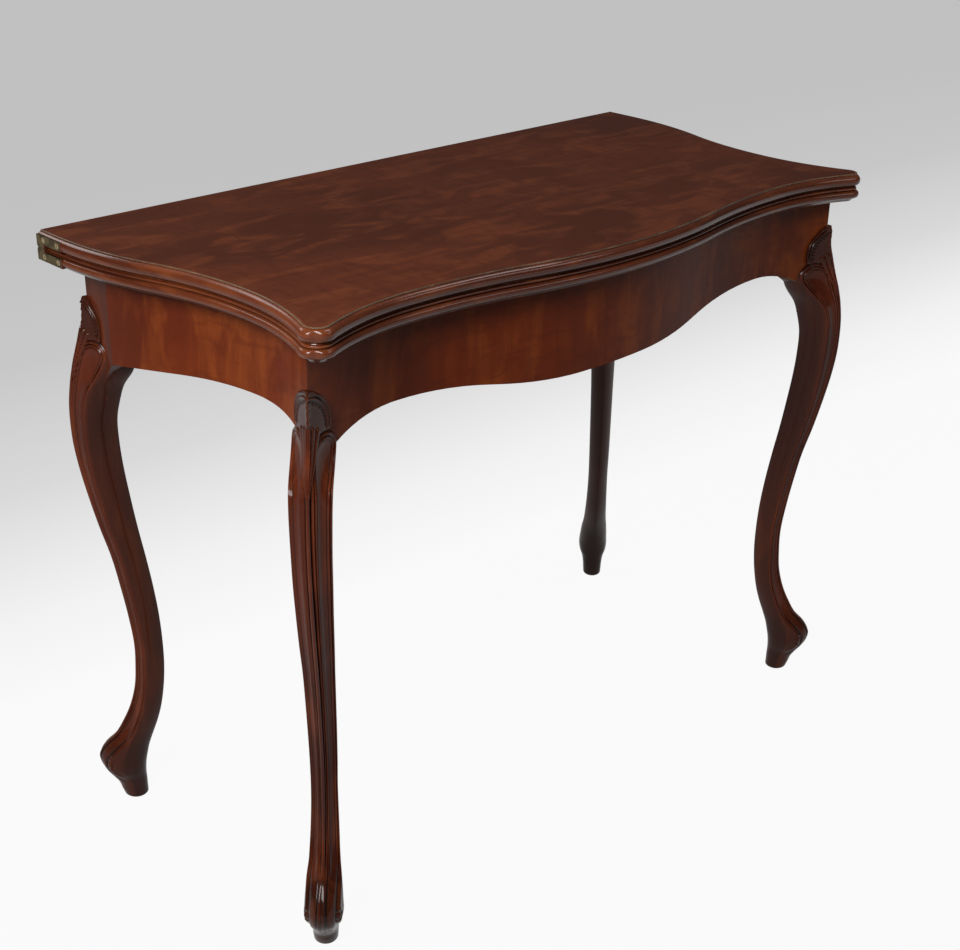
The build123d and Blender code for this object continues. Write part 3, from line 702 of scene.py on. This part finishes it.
pivot_low, pivot_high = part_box("pivot_plate")
pivot_middle = (pivot_low + pivot_high) / 2
pivot_radius = pivot_high.x - pivot_middle.x
pivot_turns = [step * tau / pivot_sides for step in range(pivot_sides)]
pivot_round = [pivot_middle + Vector((cos(turn), sin(turn), 0)) * pivot_radius for turn in pivot_turns]
upper_rows, lower_rows = len(upper_profile) - 1, len(lower_profile) - 1
upper_holes = {upper_rows: [(baize_outline(), recess_depth, 1)]}
lower_holes = {0: [(baize_outline(), recess_depth, -1)],
               lower_rows: [(pivot_round, pivot_high.z - pivot_low.z, 1)]}
upper_bm = make_leaf_mesh(upper_profile, upper_joint, 1, upper_holes)
lower_bm = make_leaf_mesh(lower_profile, lower_joint, -1, lower_holes)
add_hinge_lands(upper_bm, upper_joint, 1)
add_hinge_lands(lower_bm, lower_joint, -1)
finish_piece("moulded_upper_leaf", upper_bm, "upper_leaf", ["upper_leaf"],
             [top_wood, edge_wood, arris_painted_highlight])
finish_piece("moulded_lower_leaf", lower_bm, "bed", ["lower_leaf"], [top_wood, edge_wood])

# %% [markdown]
# ## Legs
# A cabriole leg is bandsawn from a thick blank in two directions and then shaped with a
# spokeshave. Its section stands on a corner: an arris in front, a crisp corner on each side
# and a rounder heel behind. Lower down the section turns into an oval and then into a round
# peg. The table below gives, for each height, how far the arris and the heel stand out from
# the corner of the post, where the side corners are, and half of the width.

# %% Stations of the leg, in tenths of a millimetre
leg_stations = [[size / 10000 for size in row] for row in (
    (6690, -30, -400, -245, 225),
    (6650, 40, -400, -245, 225),
    (6600, 64, -410, -250, 225),
    (6400, 77, -420, -255, 225),
    (6200, 125, -440, -250, 225),
    (6000, 182, -455, -220, 225),
    (5800, 240, -455, -120, 223),
    (5600, 281, -329, 10, 220),
    (5400, 309, -263, 70, 216),
    (5200, 320, -220, 85, 212),
    (4900, 313, -217, 85, 206),
    (4600, 276, -237, 60, 202),
    (4200, 199, -285, 0, 192),
    (3800, 106, -341, -85, 182),
    (3400, -1, -407, -180, 169),
    (3000, -75, -465, -245, 162),
    (2600, -137, -506, -298, 156),
    (2200, -177, -522, -330, 150),
    (1900, -168, -517, -320, 146),
    (1600, -135, -488, -300, 150),
    (1300, -50, -433, -240, 160),
    (1100, 43, -375, -166, 170),
    (900, 169, -302, -70, 190),
    (750, 305, -250, 0, 206),
    (600, 380, -214, 60, 216),
    (500, 369, -193, 70, 220),
    (400, 326, -180, 50, 205),
    (300, 251, -175, 20, 168),
    (200, 179, -178, -15, 150),
    (100, 143, -179, -25, 143),
    (0, 107, -181, -37, 136),
)]
crest_top = leg_stations[0][0]


def leg_size(height):
    """Arris, heel, side place and half width at a height, on smooth curves through the stations."""
    last = len(leg_stations) - 1
    index = next(i for i in range(last) if leg_stations[i + 1][0] <= height or i == last - 1)
    rows = [leg_stations[min(max(index + step, 0), last)] for step in (-1, 0, 1, 2)]
    share = (rows[1][0] - height) / (rows[1][0] - rows[2][0])
    sizes = []
    for before, start, end, after in zip(*[row[1:] for row in rows]):
        spans = [max(rows[i][0] - rows[i + 1][0], 1e-6) for i in range(3)]
        slopes = ((start - before) / spans[0], (end - start) / spans[1], (after - end) / spans[2])
        first = (slopes[0] + slopes[1]) / 2 * spans[1]
        final = (slopes[1] + slopes[2]) / 2 * spans[1]
        cube = share**3
        square = share**2
        sizes.append(start * (2 * cube - 3 * square + 1) + first * (cube - 2 * square + share)
                     + end * (3 * square - 2 * cube) + final * (cube - square))
    return sizes


print("leg at the ankle:", [round(size * 1000, 1) for size in leg_size(0.21)])

# %% [markdown]
# ### Carving
# The carver cuts each front face of the leg into a long hollow panel with two beads round it.
# The panel has a round head at the knee. Above it a curled leaf with two ribs and a row of
# punched dots climbs to the corner of the frame. The toe is a scroll with a fluted front and
# an eye on each side. All of it is relief of a millimetre or so, so it is made by moving the
# vertices of a dense skin along the face by a depth that depends on the place on the face.

# %% Relief on a face of the leg
def bell(value, middle, width):
    return exp(-(((value - middle) / width) ** 2))


def carve(value, cuts):
    """Sum of soft ribs and grooves, each given as its height, its place and its width."""
    return sum(height * bell(value, middle, width) for height, middle, width in cuts)


def smooth_step(value, low, high):
    share = min(max((value - low) / (high - low), 0), 1)
    return share * share * (3 - 2 * share)


# %% Long panel, and the rib on the arris
panel_head, panel_foot = 0.615, 0.095
panel_margin, hollow_edge, hollow_depth = 0.0062, 0.007, 0.0018
full_face, least_size, side_margin, panel_fade = 0.034, 0.62, 0.0004, 0.02
panel_cuts = ((0.0014, 0.0014, 0.001), (0.0011, 0.0052, 0.0009), (-0.0014, -0.001, 0.0009),
              (-0.0012, 0.0033, 0.0008), (-0.001, 0.007, 0.0008))
arris_cuts = ((0.001, 0, 0.0026), (-0.0014, 0.0046, 0.0011))
rib_foot, rib_head = (0.085, 0.125), (0.56, 0.58)
arris_beads = ((0.0014, 0.6575, 0.0048), (0.0014, 0.6492, 0.002), (0.0014, 0.6415, 0.004),
               (0.0014, 0.6335, 0.002))


def inside_panel(along, face_width, height):
    """Distance inside the edge of the long panel, which has a round head. It is negative outside."""
    size = min(max(face_width / full_face, least_size), 1.0)
    near_edge = panel_margin * size
    half = (face_width - side_margin - near_edge) / 2
    aside = abs(along - near_edge - half)
    head = panel_head - half
    inside = half - (hypot(aside, height - head) if height > head else aside)
    return inside / size, half / size


def panel_relief(inside, half, height):
    """Two beads round the edge of the panel and a hollow between them."""
    hollow = 0.0
    if inside > hollow_edge:
        hollow = hollow_depth * (1 - ((half - inside) / max(half - hollow_edge, 0.001)) ** 2)
    fade = smooth_step(height, panel_foot - panel_fade, panel_foot + panel_fade)
    return carve(inside, panel_cuts) * fade, hollow * fade


def arris_relief(along, height):
    """Rounded rib down the front of the leg, with a drop and beads strung on its top end."""
    rib = carve(along, arris_cuts) * (1 - smooth_step(height, *rib_head)) * smooth_step(height, *rib_foot)
    return rib + carve(height, arris_beads) * bell(along, 0, 0.0034)


print("panel from", panel_foot, "to", panel_head, "m up the leg")

# %% Leaf of lobes, and the curled leaf above it
fan_root, fan_reach = 0.552, 0.074
lobe_angle, side_lobes, fan_margin = radians(6.2), 2, 0.6
lobe_height, lobe_sink = 0.0034, 0.001
crest_foot, crest_rise, crest_reach, crest_fullness = 0.616, 0.048, 0.028, 1.7
crest_cuts = ((0.0018, 0.0014, 0.0011), (0.0015, 0.005, 0.001), (-0.0016, 0.0032, 0.0008),
              (-0.0014, 0.0069, 0.0009))
dot_cut, dot_spacing, dot_size = ((-0.0014, 0.009, 0.0011),), 8, 0.24
drop_depth = 0.018


def fan_relief(along, height):
    """Leaf of rounded lobes that opens upwards from the arris, and how much it covers what is under it."""
    rise = height - fan_root
    lobe = atan2(along, rise) / lobe_angle
    if rise <= 0 or lobe > side_lobes + fan_margin:
        return 0.0, 0.0
    aside = min(2 * abs(lobe - min(round(lobe), side_lobes)), 1)
    arch = sqrt(1 - aside * aside)
    reach = hypot(along, rise)
    cover = smooth_step(fan_reach + 0.005 * arch - 0.002 * lobe - reach, 0, 0.0032)
    cover *= smooth_step(side_lobes + fan_margin - lobe, 0, 0.15) * smooth_step(rise, 0.004, 0.015)
    return (lobe_height * arch - lobe_sink) * min(reach / 0.04, 1), cover


def inside_crest(behind, height):
    """Distance inside the edge of the curled leaf, and the shares of its reach and of its rise."""
    across = max(behind, 0) / crest_reach
    climb = (height - crest_foot) / crest_rise
    ring = (across**crest_fullness + max(climb, 0) ** crest_fullness) ** (1 / crest_fullness)
    return (1 - ring) * (crest_reach + crest_rise) / 2, across, climb


def crest_relief(behind, height):
    """Two ribs and a row of punched dots along the edge of the curled leaf above the panel."""
    inside, across, climb = inside_crest(behind, height)
    if climb <= 0:
        return 0.0
    turn = degrees(atan2(climb, across))
    dots = carve(inside, dot_cut) * bell((turn / dot_spacing) % 1, 0.5, dot_size)
    dots *= smooth_step(behind, 0.002, 0.005)
    below_tip = smooth_step(crest_top - height, 0.007, 0.014)
    return (carve(inside, crest_cuts) + dots) * smooth_step(climb, 0.0, 0.12) * below_tip


def outline_drop(along, behind, face_width, height):
    """Drop to inside the post, beyond the edge of the curled leaf and of the panel's round head."""
    inside, _, climb = inside_crest(behind, height)
    if climb > 0:
        return -drop_depth * smooth_step(-inside, 0.0, 0.0022)
    inside, half = inside_panel(along, face_width, height)
    if height < panel_head - half or along < face_width - half:
        return 0.0
    return -drop_depth * smooth_step(-inside, 0.0014, 0.0036)


print("curled leaf from", crest_foot, "to", crest_top, "m up the leg")

# %% Toe
toe_cuts = ((0.0012, 0.0026, 0.0014), (-0.0016, 0, 0.0011), (-0.0016, 0.0056, 0.0012),
            (-0.001, 0.0155, 0.0014), (0.0012, 0.0185, 0.0014))
eye_out, eye_height = 0.0225, 0.0525
eye_cuts = ((0.0012, 0, 0.003), (-0.0013, 0.005, 0.0012), (0.0006, 0.0078, 0.0014))
tongue_cut, tongue_pitch = ((0.0016, 0.03, 0.005),), 0.0056
flute_foot, flute_head = (0.022, 0.032), (0.075, 0.115)


def toe_relief(width, half_width, out, height):
    """Ribs down the front of the scroll, and the eye with its ring on each side."""
    window = smooth_step(height, *flute_foot) * (1 - smooth_step(height, *flute_head))
    tongue = carve(height, tongue_cut) * cos(tau * width / tongue_pitch) * bell(width, 0, 0.008)
    boss = carve(hypot(out - eye_out, height - eye_height), eye_cuts)
    return carve(width, toe_cuts) * window + tongue, boss * smooth_step(width / half_width, 0.55, 0.8)


print("eye of the scroll", eye_height, "m up the leg")

# %% [markdown]
# ### The skin of a leg
# A ring of vertices starts at the tip of the leaf and is extruded downwards, a millimetre or
# two at a time. Each ring takes the section of its height and then the relief. The rings are
# close together where there is carving and further apart down the plain shaft. On a front
# leg the top also follows the frame, which curves away from its corners. Each point also
# carries how dark it is painted: old wax and painted shade in the cuts, and painted shade at
# the knee, at the toe and on the heel.

# %% Where the rings lie
front_points, back_points = 54, 20
half_ring = front_points + back_points
knee_low, toe_high = 0.55, 0.128
knee_step, shaft_step, toe_step = 0.0007, 0.003, 0.0008
root_two = sqrt(2)
frame_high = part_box("front_veneer")[1]
back_corner = Vector((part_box("right_side_veneer")[1].x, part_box("back_rail")[1].y, 0))
front_corner_depth = 0.412
front_corner = Vector((frame_high.x, back_y - front_corner_depth, 0))
rail_hollow_x, rail_hollow_depth = 0.305, 0.3935
side_hollow_x, side_hollow_depth = 0.3925, 0.315
front_curve = (front_corner.x - rail_hollow_x, front_corner.y - (back_y - rail_hollow_depth))
side_curve = ((back_y - side_hollow_depth) - front_corner.y, front_corner.x - side_hollow_x)


def set_back(run, curve):
    """How far the frame lies behind its corner, this far along it, on a curve (length, depth)."""
    length, depth = curve
    return abs(depth) * (1 - ((length - run) / length) ** 2)


def leg_heights():
    height = crest_top
    while height > toe_step / 2:
        yield height
        height -= knee_step if height > knee_low else toe_step if height < toe_high else shaft_step
    yield 0.0


print("rings in the skin of a leg:", len(list(leg_heights())))

# %% A point of the section
front_power, back_power = (1.1, 0.9), (1.35, 0.65)
round_toe, meets_frame = (0.03, 0.105), (0.555, 0.6)
# Painted shade at the top of the knee, over the foot and on the heel
knee_painted_shade, knee_painted_shade_span = 0.55, (0.6, 0.63)
toe_painted_shade, toe_painted_shade_span = 0.45, (0.07, 0.11)
heel_painted_shade, peg_edge, peg_chamfer = 0.5, 0.003, 0.16


def carved(out, width, sizes, height):
    """Moves a point of the front half of the section by the carving, and tells how dark it is painted with
    old wax and painted shade.
    """
    arris, heel, side, half = sizes
    reach = arris - side
    face_width = hypot(reach, half)
    along = abs(width) / half * face_width
    inside, panel_half = inside_panel(along, face_width, height)
    depth, hollow = panel_relief(inside, panel_half, height)
    depth += crest_relief(arris - out, height)
    lobes, cover = fan_relief(along, height)
    ribs, boss = toe_relief(abs(width), half, out, height)
    depth = depth * (1 - cover) + lobes * cover + arris_relief(along, height) + ribs
    # Old wax and painted shade in the cuts, then painted shade over the top of the knee
    recess = smooth_step(-depth, 0.0001, 0.0013)
    recess += (1 - recess) * knee_painted_shade * smooth_step(height, *knee_painted_shade_span)
    depth -= hollow * (1 - cover)
    depth *= smooth_step(face_width - along, 0, 0.0006)
    depth += outline_drop(along, arris - out, face_width, height)
    aside = max(abs(width) + depth * reach / face_width + boss, 0)
    return out + depth * half / face_width, copysign(aside, width), recess


def section_turn(place, roundness, power):
    """Angle of a point of the ring, spaced so that the points lie evenly on the two front faces."""
    step = min(place, 2 * half_ring - place)
    if step > front_points:
        turn = quarter * (1 + (step - front_points) / back_points)
    else:
        share = step / front_points
        turn = (1 - roundness) * asin(share ** (power / 2)) + roundness * share * quarter
    return turn if place <= half_ring else -turn


def leg_point(place, sizes, height, curves):
    """Out and width of a point of the section, with its carving, and how dark it is painted with old wax and
    painted shade.
    """
    arris, heel, side, half = sizes
    roundness = 1 - smooth_step(height, *round_toe)
    front = min(place, 2 * half_ring - place) <= front_points
    square_power, added_power = front_power if front else back_power
    power = square_power + added_power * roundness
    turn = section_turn(place, roundness, power)
    reach = arris - side if front else side - heel
    out = side + copysign(abs(cos(turn)) ** (2 / power), cos(turn)) * reach
    width = copysign(abs(sin(turn)) ** (2 / power), sin(turn)) * half
    recess = 0.0
    if front:
        out, width, recess = carved(out, width, sizes, height)
    else:
        face_width = hypot(arris - side, half)
        sunk = outline_drop(face_width, arris - side, face_width, height) * abs(sin(turn)) / face_width
        aside = max(abs(width) + sunk * (arris - side), 0)
        out, width = out + sunk * half, copysign(aside, width)
        # Painted shade on the heel
        recess = heel_painted_shade * smooth_step(-cos(turn), 0.0, 0.2)
    # Painted shade over the foot, darkest near the floor
    recess += (1 - recess) * toe_painted_shade * (1 - smooth_step(height, *toe_painted_shade_span))
    if height < peg_edge:
        shrink = 1 - peg_chamfer * (1 - height / peg_edge) ** 2
        middle = (arris + heel) / 2
        out, width = middle + (out - middle) * shrink, width * shrink
    if curves:
        curve = curves[0] if width < 0 else curves[1]
        run = min(abs(width) * root_two, curve[0])
        out -= root_two * set_back(run, curve) * smooth_step(height, *meets_frame)
    return out, width, recess


toe_tip = leg_point(0, leg_size(0.06), 0.06, None)[0]
print("the scroll stands", round(toe_tip * 1000, 1), "mm out from the corner of the post")

# %% Extrude the skin
def extrude_rings(bm, points, heights, shape_ring):
    """Closed skin with a ring of points at each height, which shape_ring puts in their places."""
    place_of = bm.verts.layers.int["place"]
    ring = bmesh.ops.create_circle(bm, cap_ends=False, segments=points, radius=1)["verts"]
    for place, point in enumerate(ring):
        point[place_of] = place
    edges = first_edges = [edge for edge in bm.edges if edge.is_wire]
    for index, height in enumerate(heights):
        if index:
            ring, edges = extrude(bm, edges)
        shape_ring(ring, height)
    for ends in (first_edges, edges):
        bmesh.ops.edgeloop_fill(bm, edges=ends)


def leg_skin(bm, corner, outward, curves):
    """Skin of a leg whose post has this corner and whose knee points outward."""
    place_of = bm.verts.layers.int["place"]
    recess_of = bm.verts.layers.float["recess"]
    across = Vector((-outward.y, outward.x, 0))

    def shape_ring(ring, height):
        sizes = leg_size(height)
        for point in ring:
            out, width, point[recess_of] = leg_point(point[place_of], sizes, height, curves)
            point.co = corner + outward * out + across * width
            point.co.z = height

    extrude_rings(bm, 2 * half_ring, leg_heights(), shape_ring)


print("points in a ring:", 2 * half_ring)

# %% [markdown]
# ### Post and bracket
# Above the knee the same piece of wood is a square post, and its inner faces sweep out into
# the post from the back of the leg, on the arc that the edge of the rail began.

# %% Post of a leg
post_width = 0.042
bracket_radius = 0.066
bracket_inset = 0.086
post_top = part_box("leg_back_right")[1].z
bracket_drop = 0.1554
bracket_centre = post_top - bracket_drop
rail_foot = bracket_centre + sqrt(bracket_radius**2 - (bracket_inset - post_width) ** 2)
veneer_tip = 0.655
under_veneer, beside_veneer = 0.00105, 0.00015
face_steps, bracket_steps, post_steps = 6, 12, 24


def post_face(width, height, curve):
    """Points along one outer face of the post, each as its run from the corner and its depth."""
    points = []
    for step in range(face_steps + 1):
        run = width * step / face_steps
        if curve is None:
            points.append((run, 0))
            continue
        edge = veneer_tip - (veneer_tip - rail_foot) * run / post_width
        inset = under_veneer if height > edge + 0.001 else beside_veneer
        points.append((max(run, inset), set_back(run, curve) + inset))
    return points


def post_ring(height, curves):
    """Outline of the post at a height, as distances in from its two outer faces."""
    rise = min(height, rail_foot) - bracket_centre
    width = bracket_inset - sqrt(bracket_radius**2 - rise**2)
    front, side = (post_face(width, height, curve) for curve in curves or (None, None))
    return front + [(width, width)] + [(depth, run) for run, depth in reversed(side[1:])]


def add_post(bm, corner, inward_x, inward_y, curves):
    """Post and bracket of a leg, as a closed skin that its carved knee stands into."""
    place_of = bm.verts.layers.int["place"]
    rises = [(rail_foot - bracket_centre) * step / bracket_steps for step in range(bracket_steps + 1)]
    heights = [bracket_centre + rise for rise in rises]
    rises = [(veneer_tip - rail_foot) * step / post_steps for step in range(1, post_steps + 2)]
    heights += [rail_foot + rise for rise in rises] + [post_top]

    def shape_ring(ring, height):
        outline = post_ring(height, curves)
        for point in ring:
            run_x, run_y = outline[point[place_of]]
            point.co = corner + Vector((inward_x * run_x, inward_y * run_y, 0))
            point.co.z = height

    extrude_rings(bm, len(post_ring(post_top, curves)), heights, shape_ring)


print("bracket from", round(bracket_centre, 4), "to", round(rail_foot, 4))

# %% Four legs
def make_legs(row, corner, outward, curves):
    """The right leg, and a mirrored copy of it as the left one."""
    right = bmesh.new()
    right.verts.layers.int.new("place")
    # Layer of how dark each point is painted: old wax and painted shade
    right.verts.layers.float.new("recess")
    leg_skin(right, corner, outward.normalized(), curves)
    add_post(right, corner, -copysign(1, outward.x), -copysign(1, outward.y), curves)
    left = right.copy()
    bmesh.ops.scale(left, vec=(-1, 1, 1), verts=left.verts[:])
    for end, bm in (("right", right), ("left", left)):
        bmesh.ops.recalc_face_normals(bm, faces=bm.faces[:])
        name = f"leg_{row}_{end}"
        finish_piece(f"carved_{name}", bm, "frame", [name], [leg_wood], 50)


make_legs("front", front_corner, Vector((1, -1, 0)), (front_curve, side_curve))
make_legs("back", back_corner, Vector((1, 1, 0)), None)

# %% [markdown]
# ### Glue blocks
# The blocks behind the front rail are glued in last and planed back where they would show
# under the arch. A merged copy of the plain blocks is cut by one plane.

# %% Plane the glue blocks
block_foot = 0.604


def plane_glue_blocks():
    bm = bmesh.new()
    bm.from_mesh(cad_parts["glue_blocks"].data)
    bmesh.ops.remove_doubles(bm, verts=bm.verts[:], dist=1e-5)
    cut(bm, (0, 0, block_foot), (0, 0, -1), True)
    close_up(bm)
    finish_piece("planed_glue_blocks", bm, "frame", ["glue_blocks"], [bare_wood])


plane_glue_blocks()

# %% [markdown]
# ## Studio
# A pale floor runs up to a grey distance, as a paper sweep does. It shows its own colour to
# the camera and to reflections, and a part of it stays ordinary matt paper so that the table
# still throws a shadow. The lamps are large and soft, because polished wood shows every lamp.
# The grey beyond the paper shows in reflections only by a few percent, because the polished
# top would turn grey under it.

# %% Rays that see the backdrop
def calculate(tree, operation, first, second):
    inputs = {0: first, 1: second}
    return add_node(tree, "Math", {"operation": operation}, inputs).outputs[0]


def seen_ray(tree, mirrored=1.0):
    """One for rays of the camera and refractions, a share for reflections, nought for the light."""
    rays = add_node(tree, "LightPath").outputs
    reflected = calculate(tree, "MULTIPLY", rays["Is Glossy Ray"], mirrored)
    seen = calculate(tree, "MAXIMUM", rays["Is Camera Ray"], reflected)
    return calculate(tree, "MAXIMUM", seen, rays["Is Transmission Ray"])


# %% Floor
paper_grey, glow_share, floor_size = (0.3, 0.3, 0.3), 0.94, 30
fade_turn, fade_start, fade_end = radians(-86), 0.2, 3.2
backdrop_grey = 0.56
fade_greys = ((0.07, 1.0), (0.15, 0.93), (0.29, 0.725), (0.48, 0.6), (0.72, 0.57))


def make_paper():
    """Matt paper that shows the camera a white which fades to grey in the distance."""
    material, tree, mix = start_material("paper", "MixShader")
    matt = add_node(tree, "BsdfDiffuse", inputs={"Color": paper_grey})
    split = add_node(tree, "SeparateXYZ")
    feed(tree, split, {0: place_pattern(tree, (1, 1, 1), turn=(0, 0, fade_turn))})
    span = {"Value": split.outputs["X"], "From Min": fade_start, "From Max": fade_end}
    distance = add_node(tree, "MapRange", inputs=span)
    shade = add_node(tree, "ValToRGB", inputs={"Fac": distance.outputs["Result"]})
    steps = shade.color_ramp.elements
    for step, value in zip(steps, (1.0, backdrop_grey)):
        step.color = (value, value, value, 1)
    for place, value in fade_greys:
        steps.new(place).color = (value, value, value, 1)
    glow = add_node(tree, "Emission", inputs={"Color": shade.outputs["Color"]})
    share = calculate(tree, "MULTIPLY", seen_ray(tree), glow_share)
    feed(tree, mix, {0: share, 1: matt.outputs[0], 2: glow.outputs[0]})
    return material


def make_floor():
    bm = bmesh.new()
    bmesh.ops.create_grid(bm, x_segments=2, y_segments=2, size=floor_size)
    mesh_object("floor", bm, [make_paper()])
    print("floor fades from", fade_start, "to", fade_end, "m")


make_floor()

# %% Lamps
table_middle = Vector((0, 0, 0.5))


def add_lamp(name, direction, distance, size, power):
    """Soft square lamp that faces the middle of the table."""
    data = bpy.data.lights.new(name, "AREA")
    data.shape = "RECTANGLE"
    data.size, data.size_y = size
    data.energy = power
    lamp = new_object(name, data)
    lamp.location = table_middle + Vector(direction).normalized() * distance
    lamp.rotation_mode = "QUATERNION"
    lamp.rotation_quaternion = (table_middle - lamp.location).to_track_quat("-Z", "Y")


add_lamp("left_box", (-0.85, -0.34, 0.62), 2.3, (0.9, 0.8), 60)
add_lamp("top_box", (0.4, -0.1, 0.95), 3.0, (1.0, 0.9), 19)
add_lamp("front_box", (0.42, -0.72, 0.66), 3.0, (1.2, 0.6), 9)
add_lamp("back_box", (-0.2, 0.8, 0.66), 3.2, (1.6, 0.7), 18)

# %% World
fill_colour, fill_strength, mirrored_backdrop = (0.8, 0.82, 0.85), 0.07, 0.04


def make_world():
    """Faint light from all round, and a grey backdrop for the eye."""
    world = bpy.data.worlds.new("studio")
    tree = start_tree(world)
    inputs = {"Color": fill_colour, "Strength": fill_strength}
    light = add_node(tree, "Background", inputs=inputs)
    backdrop = add_node(tree, "Background", inputs={"Color": (backdrop_grey,) * 3, "Strength": 1.0})
    inputs = {0: seen_ray(tree, mirrored_backdrop), 1: light.outputs[0], 2: backdrop.outputs[0]}
    mix = add_node(tree, "MixShader", inputs=inputs)
    add_node(tree, "OutputWorld", inputs={"Surface": mix.outputs[0]})
    bpy.context.scene.world = world


make_world()
print("lamps:", len(bpy.data.lights), "and a fill of", fill_strength)
